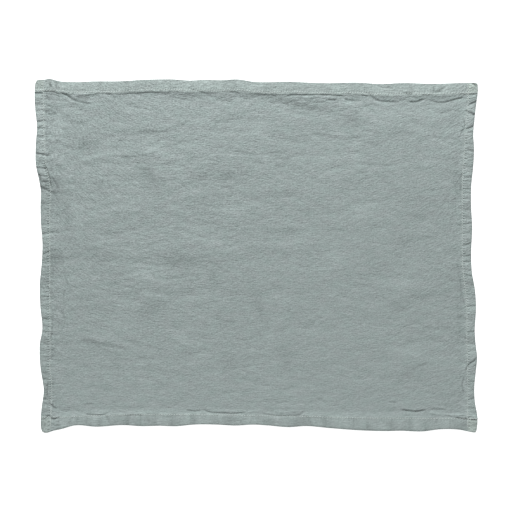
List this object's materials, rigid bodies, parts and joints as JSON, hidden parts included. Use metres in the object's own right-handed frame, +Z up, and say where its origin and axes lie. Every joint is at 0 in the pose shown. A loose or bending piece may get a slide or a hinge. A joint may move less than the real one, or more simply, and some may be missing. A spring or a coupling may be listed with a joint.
{
  "type": "fabric placemat",
  "caption": "Rectangular washed linen table mat with a narrow sewn hem, lying flat, its hems puckered and its cloth softly creased.",
  "frame": {"origin": "centre of the mat's footprint, on the surface that it lies on", "axes": "+Z up out of the face that shows; +X along the mat's length, +Y along its depth towards the hem with the deepest creases"},
  "size_m": [0.5119, 0.4092, 0.0039],
  "materials": {
    "linen_cloth": "matt washed linen, pale grey-green"
  },
  "bodies": {
    "root": {"mat_cloth": "linen_cloth"}
  },
  "joints": []
}
